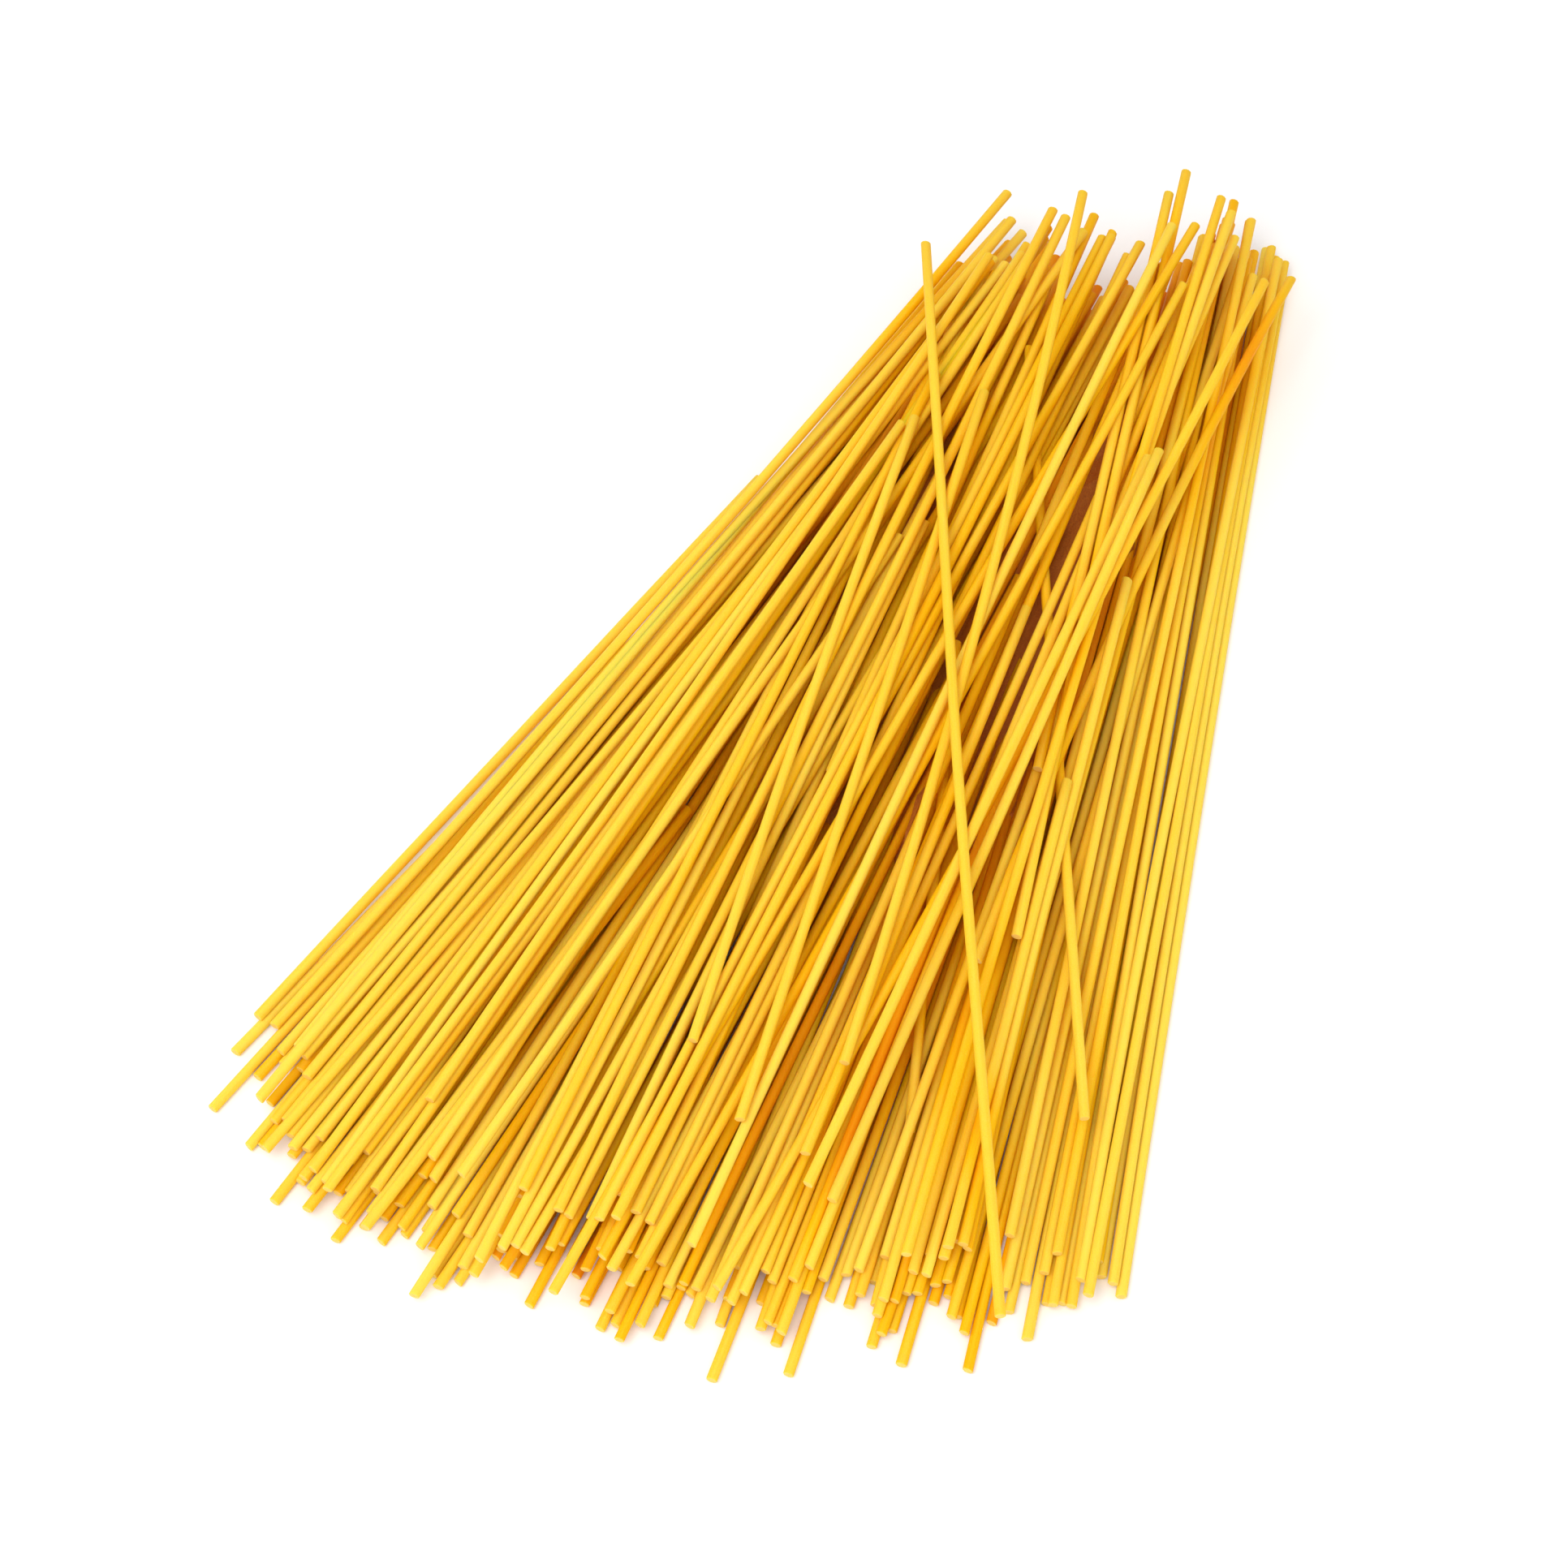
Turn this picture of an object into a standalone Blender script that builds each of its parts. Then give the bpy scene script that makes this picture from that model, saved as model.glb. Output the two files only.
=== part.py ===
"""A fanned handful of dry spaghetti lying on a table, as one solid.

Some two hundred and twenty-five thin rods lie in a heap that is narrow and deep at the far end (+Y) and
spread wide and thin at the near end (-Y). Each strand is let down in turn onto those already lying there,
which gives its height and slope. The solid is the packed middle of the heap joined with every strand that
shows on top of it or sticks out at its ends.
"""

import itertools
import math
from collections import Counter, namedtuple

import bmesh
import bpy
import numpy as np
from mathutils import Matrix, Vector

NAME = "spaghetti_bundle"
PASTA_COLOUR = (0.89, 0.50, 0.07, 1.0)
PASTA_ROUGHNESS = 0.45

# One strand, in metres
STRAND_LENGTH = 0.254
STRAND_DIAMETER = 0.0022
LENGTH_SPREAD = 0.0008
DIAMETER_SPREAD = 0.04
BOW_SPREAD = 0.0007

# The fan: half its width at each end, and how many strands lie in it
STRAND_COUNT = 216
FAR_HALF_WIDTH = 0.030
NEAR_HALF_WIDTH = 0.0905
NEAR_MIDDLE = 0.0022
SEED = 246

# Where a strand's middle lies along Y, as a curve over the place across the fan (-1 left, 1 right)
MIDDLE_SHIFT = (-0.0085, 0.021, 0.021, -0.006)
END_SPREAD = 0.0036
MOST_SHIFT = 0.011

# How far the strands at the left and the right edge are drawn back, and where that starts across the fan
CORNER_SHIFT = (0.008, 0.004)
CORNER_START = 0.7

# The bed is spread evenly over the fan
BED_COUNT = 100
BED_WANDER = (0.002, 0.004)
LAYER_SHIFT = (-0.006, 0.0045)

# A narrow gap between the near ends, close to the right edge
GAP_PLACE = 0.0745
GAP_HALF_WIDTH = 0.0026

# The rest lies in small bunches, neat ones at the left and more crossed ones elsewhere
BUNCH_SIZE = (2, 4)
GOLDEN = 0.6180339887
CROWN = 0.16
FAR_WANDER = (0.002, 0.0065)
NEAR_WANDER = (0.005, 0.016)
CALM_SIDE = -0.6

# The uppermost bunches lie across those under them, turned one way and the other
CROSS_START = 0.82
CROSS_FAR = 0.006
CROSS_NEAR = 0.015

BROKEN_SHARE = 0.09
BROKEN_LENGTH = (0.35, 0.85)

# How a strand settles: it slides sideways and turns while that lets it down more than friction holds it
FRICTION = 0.12
MOST_MOVES = 14
MOST_SLIDE = 0.006
EASY_SLOPE = 0.08
MOST_SLOPE = 0.14
UNSTEADY = 0.5
SAMPLE_STEP = 0.0064

# Strands that lie across the others, as (far x, far y, near x, near y, bow), let down by hand
LATE_STRANDS = (
    (-0.007, 0.093, 0.074, -0.068, 0.0),
    (0.008, 0.020, 0.043, -0.083, 0.0),
)
TOP_STRANDS = (
    (0.011, 0.128, 0.015, -0.126, 0.0010),
    (0.037, 0.120, 0.024, -0.130, -0.0015),
    (-0.023, 0.060, -0.046, -0.118, 0.0006),
    (-0.021, 0.062, -0.002, -0.089, 0.0008),
    (-0.009, 0.073, 0.014, -0.100, 0.0),
    (0.019, 0.031, 0.028, -0.100, 0.0),
    (0.029, 0.072, 0.033, -0.110, 0.0),
    (0.0315, 0.071, 0.036, -0.105, 0.0),
    (-0.007, 0.126, 0.029, -0.080, -0.0025),
    (-0.037, 0.104, 0.077, -0.121, 0.0008),
)

# The solid
ROD_SIDES = 6
ROD_LIFT = 0.00018
BOWED_PARTS = 2
STRAIGHT_BOW = 0.0008
CORE_COLUMNS = 12
CORE_ROWS = 5
CORE_INSET = 0.010
FAR_EDGE = (0.0, 0.010)
CORE_SINK = 0.0009
SHOWING_SHARE = 0.12
OUTER_EDGE = 0.0008

Strand = namedtuple("Strand", "x y angle half bow diameter z slope")


def folded(value, limit):
    """Turns a value past the edge of the fan back inside it."""
    while abs(value) > limit:
        value = math.copysign(2 * limit, value) - value
    return value


def parted(near_x):
    """Moves a near end that would lie in the gap to the nearer side of it."""
    off = near_x - GAP_PLACE
    return GAP_PLACE + math.copysign(GAP_HALF_WIDTH, off) if abs(off) < GAP_HALF_WIDTH else near_x


def smooth_step(value, low, high):
    share = min(1.0, max(0.0, (value - low) / (high - low)))
    return share * share * (3 - 2 * share)


def mixed(pair, share):
    return pair[0] + (pair[1] - pair[0]) * share


class Heap:
    """The strands laid so far, as arrays, so that a new one can be tried against all of them at once."""

    def __init__(self, room):
        self.count = 0
        self.centre = np.zeros((room, 2))
        self.along = np.zeros((room, 2))
        self.across = np.zeros((room, 2))
        self.half, self.bow, self.diameter, self.z, self.slope = np.zeros((5, room))
        self.strands = []

    def add(self, strand):
        i = self.count
        sine, cosine = math.sin(strand.angle), math.cos(strand.angle)
        self.centre[i] = strand.x, strand.y
        self.along[i] = sine, cosine
        self.across[i] = cosine, -sine
        self.half[i], self.bow[i], self.diameter[i] = strand.half, strand.bow, strand.diameter
        self.z[i], self.slope[i] = strand.z, strand.slope
        self.strands.append(strand)
        self.count += 1

    def local(self, points, which):
        """How far along and across each of these strands a plan point is."""
        offset = points[..., None, :] - self.centre[which]
        along = (offset * self.along[which]).sum(-1)
        return along, (offset * self.across[which]).sum(-1)

    def heights(self, points, diameter, which):
        """The axis height at which a strand of this diameter would touch these ones, at each plan point."""
        along, across = self.local(points, which)
        half = self.half[which]
        across = across - self.bow[which] * ((along / half) ** 2 - 1 / 3)
        past_end = np.maximum(np.abs(along) - half, 0)
        reach = ((self.diameter[which] + diameter) / 2) ** 2 - across ** 2 - past_end ** 2
        axis = self.z[which] + self.slope[which] * np.clip(along, -half, half)
        touching = np.where(reach > 0, axis + np.sqrt(np.maximum(reach, 0)), 0)
        return np.maximum(touching.max(-1, initial=0), diameter / 2)

    def near(self, x, y, angle, half, margin=0.007):
        """The laid strands that a new one could touch."""
        along = np.linspace(-half, half, 9)
        points = np.stack([x + math.sin(angle) * along, y + math.cos(angle) * along], -1)
        place, across = self.local(points, slice(self.count))
        past_end = np.maximum(np.abs(place) - self.half[: self.count], 0)
        beside = (np.abs(across) < margin) & (past_end < margin + half / 8)
        crossing = (np.sign(across[1:]) != np.sign(across[:-1])) & (past_end[1:] < half / 3)
        return np.nonzero(beside.any(0) | crossing.any(0))[0]

    def rest(self, x, y, angle, half, bow, diameter, which):
        """Centre height and slope of a strand laid at each place, carried on both sides of its middle."""
        count = max(9, int(round(2 * half / SAMPLE_STEP)) | 1)
        along = np.linspace(-half, half, count)
        side = bow * ((along / half) ** 2 - 1 / 3)
        sine, cosine = np.sin(angle)[:, None], np.cos(angle)[:, None]
        points = np.stack(
            [x[:, None] + sine * along + cosine * side, y[:, None] + cosine * along - sine * side], -1
        )
        support = self.heights(points, diameter, which)
        left, right = along[along <= 0], along[along >= 0]
        span = np.maximum(right - left[:, None], 1e-9)
        low, high = support[:, along <= 0], support[:, along >= 0]
        centre = (low[:, :, None] * right - high[:, None] * left[:, None]) / span
        flat = centre.reshape(len(centre), -1)
        best = flat.argmax(1)
        i, j = np.unravel_index(best, span.shape)
        rows = np.arange(len(flat))
        slope = np.clip((high[rows, j] - low[rows, i]) / span[i, j], -MOST_SLOPE, MOST_SLOPE)
        return (support - slope[:, None] * along).max(1), slope


SLIDES = np.array([-1, 1, 0, 0, -0.5, 0.5, -0.5, 0.5, -0.5, 0.5, -2, 2])
TURNS = np.array([0, 0, -1, 1, -1, 1, 1, -1, 0, 0, 0, 0])


def unsteady(slope, half):
    """What a steep strand counts extra, because it would slip down lengthwise."""
    return UNSTEADY * half * np.maximum(np.abs(slope) - EASY_SLOPE, 0)


def let_down(heap, x, y, angle, half, bow, diameter, free=True):
    """Lays a strand on the heap. A free one slides and turns to the lowest place friction lets it reach."""
    which = heap.near(x, y, angle, half)
    z, slope = (v[0] for v in heap.rest(*np.array([[x], [y], [angle]]), half, bow, diameter, which))
    step, slid = diameter / 2, 0.0
    for _ in range(MOST_MOVES if free else 0):
        slide, turn = SLIDES * step, TURNS * step / half
        xs, ys = x + math.cos(angle) * slide, y - math.sin(angle) * slide
        angles = angle + turn
        zs, slopes = heap.rest(xs, ys, angles, half, bow, diameter, which)
        cost = zs + unsteady(slopes, half) + FRICTION * (np.abs(slide) + 0.5 * np.abs(turn) * half)
        i = int(cost.argmin())
        if cost[i] < z + unsteady(slope, half) - 1e-6:
            x, y, angle, z, slope = xs[i], ys[i], angles[i], zs[i], slopes[i]
            slid += abs(slide[i])
            if slid > MOST_SLIDE:
                break
        elif step < 0.3 * diameter:
            break
        else:
            step /= 2
    heap.add(Strand(x, y, angle, half, bow, diameter, z, slope))


def lay_by_hand(heap, rows):
    for far_x, far_y, near_x, near_y, bow in rows:
        run_x, run_y = far_x - near_x, far_y - near_y
        x, y = (far_x + near_x) / 2, (far_y + near_y) / 2
        half = math.hypot(run_x, run_y) / 2
        let_down(heap, x, y, math.atan2(run_x, run_y), half, bow, STRAND_DIAMETER, free=False)


def lay_bed(heap, rng):
    """The lowest strands, spread evenly over the fan and laid in a random order."""
    for i in rng.permutation(BED_COUNT):
        place = 2 * (i + rng.uniform(0.2, 0.8)) / BED_COUNT - 1
        far_x = folded(FAR_HALF_WIDTH * place + rng.normal(0, BED_WANDER[0]), FAR_HALF_WIDTH)
        near_x = folded(NEAR_HALF_WIDTH * place + rng.normal(0, BED_WANDER[1]), NEAR_HALF_WIDTH)
        lay_strand(heap, rng, far_x, near_x, rng.normal(0, END_SPREAD), heap.count / STRAND_COUNT)


def lay_bunch(heap, rng, turn):
    """A few strands side by side, which share their place and direction in the fan."""
    laid = heap.count / STRAND_COUNT
    size = min(int(rng.integers(BUNCH_SIZE[0], BUNCH_SIZE[1] + 1)), STRAND_COUNT - heap.count)
    width = 1 - CROWN * laid
    place = (2 * math.fmod(GOLDEN * turn, 1) - 1) * width
    crossed = smooth_step(place, CALM_SIDE - 0.2, CALM_SIDE + 0.2)
    far = FAR_HALF_WIDTH * place + rng.normal(0, mixed(FAR_WANDER, crossed))
    near = NEAR_HALF_WIDTH * place + rng.normal(0, mixed(NEAR_WANDER, crossed))
    if laid > CROSS_START:
        lean = crossed * (1 if turn % 2 else -1)
        far, near = far + lean * CROSS_FAR, near - lean * CROSS_NEAR
    shift = rng.normal(0, END_SPREAD)
    for i in range(size):
        beside = i - (size - 1) / 2
        far_x = far + beside * (0.0023 + 0.0006 * crossed) + rng.normal(0, 0.0005 + 0.0010 * crossed)
        near_x = near + beside * (0.0029 + 0.0006 * crossed) + rng.normal(0, 0.0012 + 0.0020 * crossed)
        far_x = folded(far_x, FAR_HALF_WIDTH * width)
        near_x = folded(near_x, NEAR_HALF_WIDTH * width)
        lay_strand(heap, rng, far_x, near_x, shift, laid)


def lay_strand(heap, rng, far_x, near_x, shift, laid):
    near_x = parted(near_x)
    length = STRAND_LENGTH + rng.normal(0, LENGTH_SPREAD)
    angle = math.asin((far_x - near_x - NEAR_MIDDLE) / length)
    place = near_x / NEAR_HALF_WIDTH
    shift = max(-MOST_SHIFT, min(MOST_SHIFT, shift + rng.normal(0, END_SPREAD))) + mixed(LAYER_SHIFT, laid)
    shift += CORNER_SHIFT[int(place > 0)] * smooth_step(abs(place), CORNER_START, 1.0)
    x, y = (far_x + near_x + NEAR_MIDDLE) / 2, np.polyval(MIDDLE_SHIFT[::-1], place) + shift
    bow = rng.normal(0, BOW_SPREAD) * (3 if rng.random() < 0.08 else 1)
    if laid > 0.3 and rng.random() < BROKEN_SHARE * (2.2 if laid > 0.75 else 1):
        kept = rng.uniform(*BROKEN_LENGTH)
        side = -1 if rng.random() < 0.5 else 1
        x += side * math.sin(angle) * length * (1 - kept) / 2
        y += side * math.cos(angle) * length * (1 - kept) / 2
        length, bow = length * kept, bow * kept ** 2
    diameter = STRAND_DIAMETER * (1 + rng.uniform(-DIAMETER_SPREAD, DIAMETER_SPREAD))
    let_down(heap, x, y, angle, length / 2, bow, diameter)


def lay_heap():
    rng = np.random.default_rng(SEED)
    heap = Heap(STRAND_COUNT + len(TOP_STRANDS) + len(LATE_STRANDS))
    lay_bed(heap, rng)
    turns = itertools.count()
    while heap.count < 0.8 * STRAND_COUNT:
        lay_bunch(heap, rng, next(turns))
    lay_by_hand(heap, LATE_STRANDS)
    while heap.count < STRAND_COUNT:
        lay_bunch(heap, rng, next(turns))
    lay_by_hand(heap, TOP_STRANDS)
    return heap


def axis_points(strand, count):
    """Points along a strand's axis."""
    along = np.linspace(-strand.half, strand.half, count)
    side = strand.bow * ((along / strand.half) ** 2 - 1 / 3)
    sine, cosine = math.sin(strand.angle), math.cos(strand.angle)
    return np.stack(
        [
            strand.x + sine * along + cosine * side,
            strand.y + cosine * along - sine * side,
            strand.z + strand.slope * along,
        ],
        -1,
    )


def clear_scene():
    for thing in list(bpy.data.objects):
        bpy.data.objects.remove(thing, do_unlink=True)


def add_collection(name):
    group = bpy.data.collections.new(name)
    bpy.context.scene.collection.children.link(group)
    return group


def object_from(shape, name, group):
    mesh = bpy.data.meshes.new(name)
    shape.to_mesh(mesh)
    shape.free()
    thing = bpy.data.objects.new(name, mesh)
    group.objects.link(thing)
    return thing


def pasta_material():
    material = bpy.data.materials.new("dry_pasta")
    material.use_nodes = True
    shader = material.node_tree.nodes["Principled BSDF"]
    shader.inputs["Base Color"].default_value = PASTA_COLOUR
    shader.inputs["Roughness"].default_value = PASTA_ROUGHNESS
    shader.inputs["Metallic"].default_value = 0.0
    return material


def heap_shift(heap):
    """What moves the middle of the heap's outline onto the origin."""
    ends = np.concatenate([axis_points(strand, 3) for strand in heap.strands])
    return -(ends.min(0) + ends.max(0)) / 2 * (1, 1, 0)


def rod_template(parts):
    """A six-sided bar of unit radius along Y, from -1 to 1, cut across into equal parts."""
    shape = bmesh.new()
    bmesh.ops.create_cone(
        shape,
        cap_ends=True,
        segments=ROD_SIDES,
        radius1=1,
        radius2=1,
        depth=2,
        matrix=Matrix.Rotation(math.radians(90), 4, "X"),
    )
    long_edges = [edge for edge in shape.edges if edge.calc_length() > 1.5]
    bmesh.ops.subdivide_edges(shape, edges=long_edges, cuts=parts - 1)
    mesh = bpy.data.meshes.new("rod_template")
    shape.to_mesh(mesh)
    shape.free()
    return mesh


def add_rod(shape, template, strand, shift, roll):
    """Bends one copy of the template along the strand's axis."""
    shape.from_mesh(template)
    shape.verts.ensure_lookup_table()
    radius = strand.diameter / 2 / math.cos(math.pi / ROD_SIDES)
    sine, cosine = math.sin(strand.angle), math.cos(strand.angle)
    turn = Matrix.Rotation(roll, 3, "Y")
    for vertex in shape.verts[-len(template.vertices) :]:
        vertex.co = turn @ vertex.co
        along = vertex.co.y * strand.half
        side = vertex.co.x * radius + strand.bow * (vertex.co.y ** 2 - 1 / 3)
        vertex.co = Vector(
            (
                strand.x + sine * along + cosine * side,
                strand.y + cosine * along - sine * side,
                strand.z + strand.slope * along + vertex.co.z * radius + ROD_LIFT,
            )
        ) + Vector(shift)


def fan_point(across, along, ends):
    """A plan point: across runs from -1 at the left edge to 1, along from 0 at the near end to 1."""
    near_y = np.polyval(MIDDLE_SHIFT[::-1], across) + ends[0]
    far_y = np.polyval(FAR_EDGE[::-1], across) + ends[1]
    half = mixed((NEAR_HALF_WIDTH, FAR_HALF_WIDTH), along)
    return half * across + NEAR_MIDDLE * (1 - along), near_y + (far_y - near_y) * along


def core_height(heap, x, y, reach=0.004):
    """Just under the strands that show round this point: the highest axes near it, averaged."""
    spots = [(x + dx * reach, y + dy * reach * 2) for dx in (-1, -0.5, 0, 0.5, 1) for dy in (-1, 0, 1)]
    which = np.arange(heap.count)
    tops = heap.heights(np.array(spots), STRAND_DIAMETER * 1.6, which)
    return max(float(np.mean(tops)) - STRAND_DIAMETER * 1.3 - CORE_SINK, 0.0008)


def add_core(shape, heap, shift):
    """The packed middle of the heap: a fan-shaped block, flat below, whose top follows the strands."""
    bmesh.ops.create_grid(shape, x_segments=CORE_COLUMNS, y_segments=CORE_ROWS, size=1)
    ends = (-STRAND_LENGTH / 2 + CORE_INSET, STRAND_LENGTH / 2 - CORE_INSET)
    grid = list(shape.verts)
    floor = bmesh.ops.extrude_face_region(shape, geom=list(shape.faces))["geom"]
    floor = {v for v in floor if isinstance(v, bmesh.types.BMVert)}
    for vertex in grid + list(floor):
        x, y = fan_point(vertex.co.x * 0.96, (vertex.co.y + 1) / 2, ends)
        z = 0.0 if vertex in floor else core_height(heap, x, y)
        vertex.co = Vector((x, y, z)) + Vector(shift)
    bmesh.ops.recalc_face_normals(shape, faces=list(shape.faces))


def showing(heap, strand):
    """The share of a strand with nothing lying over it."""
    points = axis_points(strand, 41)
    surface = heap.heights(points[:, :2], 1e-6, np.arange(heap.count))
    return (points[:, 2] + strand.diameter / 2 > surface - 1e-5).mean()


def outermost(heap):
    """The strands whose ends reach furthest out on each side of the heap."""
    ends = np.array([axis_points(strand, 3)[:, :2] for strand in heap.strands])
    low, high = ends.min((0, 1)), ends.max((0, 1))
    return ((ends < low + OUTER_EDGE) | (ends > high - OUTER_EDGE)).any((1, 2))


def add_strands(shape, heap, shift):
    """Every strand that shows on top of the heap or defines its outline."""
    count = 0
    straight, bowed = rod_template(1), rod_template(BOWED_PARTS)
    for strand, outer in zip(heap.strands, outermost(heap)):
        if outer or showing(heap, strand) > SHOWING_SHARE:
            template = bowed if abs(strand.bow) > STRAIGHT_BOW else straight
            roll = 2 * math.pi / ROD_SIDES * math.fmod(GOLDEN * count, 1)
            add_rod(shape, template, strand, shift, roll)
            count += 1
    print("rods", count)


def joined(core, strands):
    """The union of the core and the strands, as a new mesh."""
    union = core.modifiers.new("join", "BOOLEAN")
    union.operation = "UNION"
    union.solver = "EXACT"
    union.use_self = True
    union.object = strands
    seen = core.evaluated_get(bpy.context.evaluated_depsgraph_get())
    mesh = bpy.data.meshes.new_from_object(seen)
    core.modifiers.remove(union)
    return mesh


def islands(shape):
    """The faces of each separate shell."""
    left = set(shape.faces)
    while left:
        front = [left.pop()]
        shell = []
        while front:
            face = front.pop()
            shell.append(face)
            beside = {f for edge in face.edges for f in edge.link_faces} & left
            left -= beside
            front.extend(beside)
        yield shell


def drop_doubled(shape):
    """Removes triangles that lie back to back on the same three corners."""
    corners = Counter(frozenset(face.verts) for face in shape.faces)
    doubled = [face for face in shape.faces if corners[frozenset(face.verts)] > 1]
    bmesh.ops.delete(shape, geom=doubled, context="FACES")


def other_cut(edge, first, second):
    """The two triangles left when a pair is cut along its other diagonal, in the pair's own winding."""
    sides = zip(first.verts[:], first.verts[1:] + first.verts[:1])
    a, b = next(side for side in sides if set(side) == set(edge.verts))
    tips = [next(v for v in face.verts if v not in edge.verts) for face in (first, second)]
    return (a, tips[1], tips[0]), (tips[1], b, tips[0])


def turn_diagonal(shape, edge):
    """Where two crossing faces were cut along the same line, one of them is cut along its other diagonal."""
    for first, second in itertools.combinations(edge.link_faces, 2):
        if first.normal.dot(second.normal) < 0.9999:
            continue
        cut = other_cut(edge, first, second)
        normals = [(v.co - u.co).cross(w.co - u.co).normalized() for u, v, w in cut]
        if min(normal.dot(first.normal) for normal in normals) > 0.9:
            bmesh.ops.delete(shape, geom=[first, second], context="FACES_ONLY")
            for corners in cut:
                shape.faces.new(corners)
            return


def keep_outer_shell(mesh):
    """Drops the sealed pockets between strands, and any strand that touches nothing."""
    shape = bmesh.new()
    shape.from_mesh(mesh)
    shells = sorted(islands(shape), key=len)
    print("shells", [len(shell) for shell in shells])
    loose = [face for shell in shells[:-1] for face in shell]
    bmesh.ops.delete(shape, geom=loose, context="FACES")
    bmesh.ops.triangulate(shape, faces=list(shape.faces))
    drop_doubled(shape)
    for edge in [edge for edge in shape.edges if len(edge.link_faces) == 4]:
        turn_diagonal(shape, edge)
    print("triangles", len(shape.faces))
    shape.to_mesh(mesh)
    shape.free()


def main():
    clear_scene()
    group = add_collection(NAME)
    helpers = add_collection("helpers")
    heap = lay_heap()
    shift = heap_shift(heap)
    shape = bmesh.new()
    add_core(shape, heap, shift)
    core = object_from(shape, "core", helpers)
    shape = bmesh.new()
    add_strands(shape, heap, shift)
    strands = object_from(shape, "strands", helpers)
    for helper in (core, strands):
        helper.hide_render = True
        helper.display_type = "WIRE"
    mesh = joined(core, strands)
    keep_outer_shell(mesh)
    mesh.materials.append(pasta_material())
    bundle = bpy.data.objects.new(NAME, mesh)
    group.objects.link(bundle)


if __name__ == "__main__":
    main()
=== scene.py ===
import itertools
import math
from collections import namedtuple

import bmesh
import bpy
import numpy as np
from mathutils import Matrix, Vector


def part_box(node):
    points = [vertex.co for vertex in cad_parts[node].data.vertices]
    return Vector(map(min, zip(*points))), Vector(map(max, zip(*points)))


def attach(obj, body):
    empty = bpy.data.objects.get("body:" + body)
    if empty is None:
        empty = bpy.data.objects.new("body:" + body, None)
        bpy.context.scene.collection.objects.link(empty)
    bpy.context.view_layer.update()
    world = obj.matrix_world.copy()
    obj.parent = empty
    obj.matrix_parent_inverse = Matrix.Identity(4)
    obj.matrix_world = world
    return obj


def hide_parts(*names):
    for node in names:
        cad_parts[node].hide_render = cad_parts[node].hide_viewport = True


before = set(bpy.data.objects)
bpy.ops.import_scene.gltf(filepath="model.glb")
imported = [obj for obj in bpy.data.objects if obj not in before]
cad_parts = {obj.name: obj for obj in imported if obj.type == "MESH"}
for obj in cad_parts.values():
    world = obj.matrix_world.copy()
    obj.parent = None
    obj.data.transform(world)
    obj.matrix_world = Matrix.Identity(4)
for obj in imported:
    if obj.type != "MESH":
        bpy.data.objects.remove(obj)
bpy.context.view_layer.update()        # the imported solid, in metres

bundleLow, bundleHigh = (Vector(corner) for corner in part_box("spaghetti_bundle"))
print("frame loaded, bundle", [round(side * 1000, 1) for side in bundleHigh - bundleLow], "mm")


# how the strands lie
# a strand is an axis in plan, whose angle turns from +Y towards +X,
# with its half length, its bow, its thickness, and its height and slope
Strand = namedtuple("Strand", "x y angle half bow diameter z slope")

strandCut = {
    "length": 0.254,
    "lengthSpread": 0.0008,
    "diameter": 0.0022,
    "diameterSpread": 0.04,
    "bowSpread": 0.0007,
    "bentShare": 0.08,                       # strands that are bowed more than the others
    "bentMore": 3,
    "brokenShare": 0.09,
    "brokenStart": 0.3,                      # broken ones lie above this share of the heap
    "brokenTop": 0.75,                       # and above this there are more of them
    "brokenMore": 2.2,
    "brokenLength": (0.35, 0.85),
}

fan = {
    "seed": 246,
    "count": 216,
    "farHalfWidth": 0.030,
    "nearHalfWidth": 0.0905,
    "nearMiddle": 0.0022,
    "middleShift": (-0.0085, 0.021, 0.021, -0.006),  # where middles lie along Y, from left to right
    "cornerShift": (0.008, 0.004),           # how far the left and the right edge are drawn back
    "cornerStart": 0.7,
    "endSpread": 0.0036,
    "mostShift": 0.011,
    "bedCount": 100,                         # the bed is spread evenly over the fan
    "bedPlace": (0.2, 0.8),                  # where in its own share of the width a strand may lie
    "bedWander": (0.002, 0.004),             # at the far end, at the near end
    "layerShift": (-0.006, 0.0045),          # along Y, in the lowest layer and in the top one
    "gapPlace": 0.0745,                      # a narrow gap between the near ends
    "gapHalfWidth": 0.0026,
    "bunchSize": (2, 4),
    "farStep": (0.0023, 0.0006),             # from strand to strand in a bunch, and what crossing adds
    "nearStep": (0.0029, 0.0006),
    "farStray": (0.0005, 0.0010),            # how far a strand strays from its bunch
    "nearStray": (0.0012, 0.0020),
    "golden": 0.6180339887,                  # spreads the bunches evenly over the fan
    "crown": 0.16,                           # how much narrower the top of the heap is
    "farWander": (0.002, 0.0065),            # of neat bunches, of crossed ones
    "nearWander": (0.005, 0.016),
    "calmSide": -0.6,                        # bunches further left are neat
    "calmEdge": 0.2,
    "lateStart": 0.8,                        # the late strands are laid on this share of the heap
    "crossStart": 0.82,                      # the bunches above this lie across those under them
    "crossFar": 0.006,
    "crossNear": 0.015,
}

settling = {
    "friction": 0.12,
    "turnFriction": 0.5,
    "mostMoves": 14,
    "mostSlide": 0.006,
    "leastGain": 1e-6,
    "leastStep": 0.3,                        # in a strand's thickness
    "easySlope": 0.08,
    "mostSlope": 0.14,
    "unsteady": 0.5,
    "sampleStep": 0.0064,
    "fewestSamples": 9,
    "nearMargin": 0.007,
}

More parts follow.
